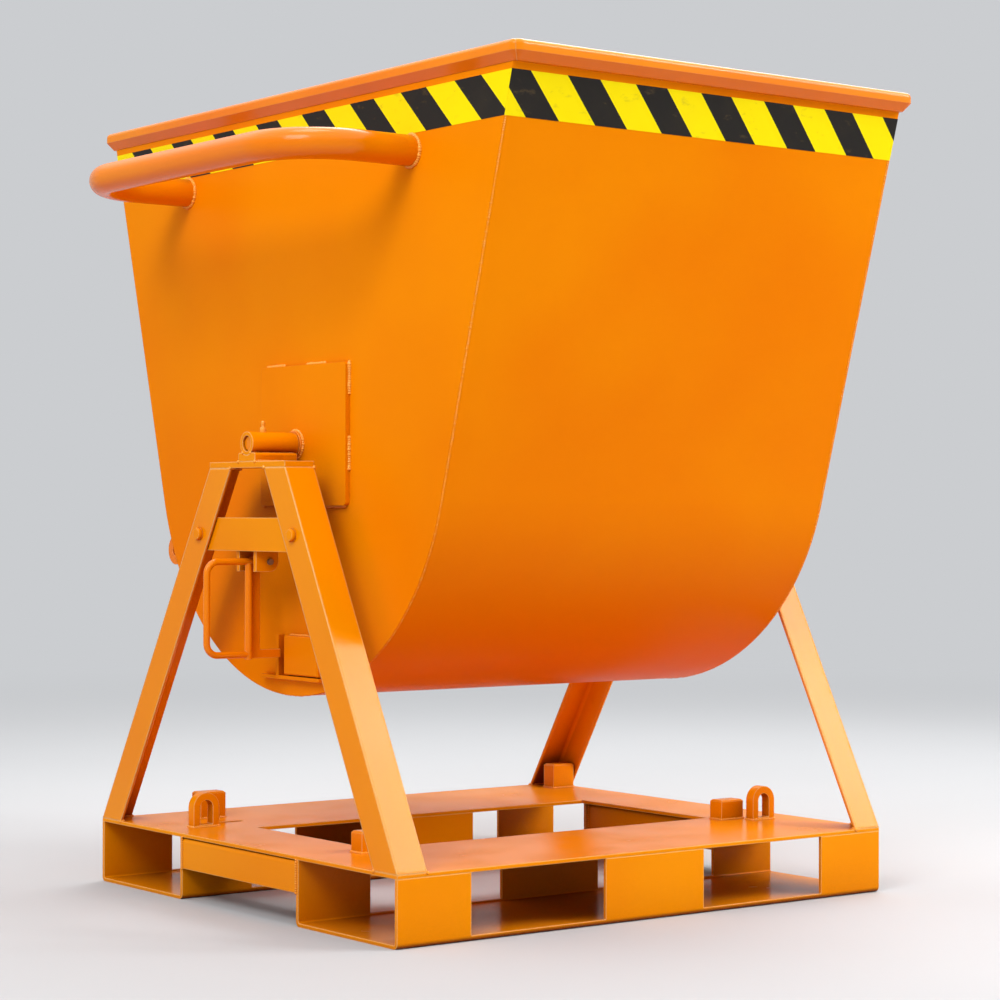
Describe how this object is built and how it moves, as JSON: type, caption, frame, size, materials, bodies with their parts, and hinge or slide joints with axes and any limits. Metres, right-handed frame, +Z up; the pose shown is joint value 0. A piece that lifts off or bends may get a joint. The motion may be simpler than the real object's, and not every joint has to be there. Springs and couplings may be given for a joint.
{
  "type": "tipping hopper",
  "caption": "Round-bottomed steel tipping bucket on trunnions between A-frames, with a fork-lift base, a tilt handle, hazard tape and a hand latch.",
  "frame": {"origin": "on the ground, under the middle of the base", "axes": "+Z up, X along the trunnion axis with the handle and latch at -X, Y across the bucket with the front at -Y"},
  "size_m": [1.1396, 1.232, 1.332],
  "materials": {
    "orange_paint": "gloss paint on folded and welded steel",
    "hazard_tape": "adhesive tape with slanted black stripes",
    "bare_steel": "bare turned steel, a little greasy"
  },
  "bodies": {
    "base": {"deck_plate": "orange_paint", "fork_channel_front": "orange_paint", "fork_channel_rear": "orange_paint", "cross_member_near": "orange_paint", "cross_member_far": "orange_paint", "leg_near_front": "orange_paint", "leg_near_rear": "orange_paint", "leg_far_front": "orange_paint", "leg_far_rear": "orange_paint", "apex_plate_near": "orange_paint", "apex_plate_far": "orange_paint", "saddle_near": "orange_paint", "saddle_far": "orange_paint", "bearing_tube_near": "orange_paint", "bearing_tube_far": "orange_paint", "crossbar_near": "orange_paint", "crossbar_far": "orange_paint", "crossbar_bolts": "orange_paint", "crossbar_nuts": "orange_paint", "lashing_lugs": "orange_paint", "stop_blocks": "orange_paint", "latch_lugs": "orange_paint", "latch_pin": "bare_steel"},
    "bucket": {"trough_sheet": "orange_paint", "end_plate_near": "orange_paint", "end_plate_far": "orange_paint", "rim_rail_near": "orange_paint", "rim_rail_far": "orange_paint", "rim_rail_front": "orange_paint", "rim_rail_rear": "orange_paint", "doubler_near": "orange_paint", "doubler_far": "orange_paint", "trunnion_pin_near": "orange_paint", "trunnion_pin_far": "orange_paint", "thrust_collars": "orange_paint", "hazard_tape_near": "hazard_tape", "hazard_tape_far": "hazard_tape", "hazard_tape_front": "hazard_tape", "hazard_tape_rear": "hazard_tape", "tilt_handle": "orange_paint", "tipping_eye": "orange_paint", "strike_box": "orange_paint", "strike_ledge": "orange_paint"},
    "latch": {"latch_hub": "orange_paint", "latch_handle": "orange_paint", "latch_tongue": "orange_paint"}
  },
  "joints": [
    {"name": "tip", "type": "hinge", "parent": "base", "child": "bucket", "pos_m": [0, -0.025, 0.755], "axis": [1, 0, 0], "range_deg": [-90, 95]},
    {"name": "latch_lift", "type": "hinge", "parent": "base", "child": "latch", "pos_m": [-0.462, 0, 0.565], "axis": [0, 1, 0], "range_deg": [-5, 16]}
  ]
}
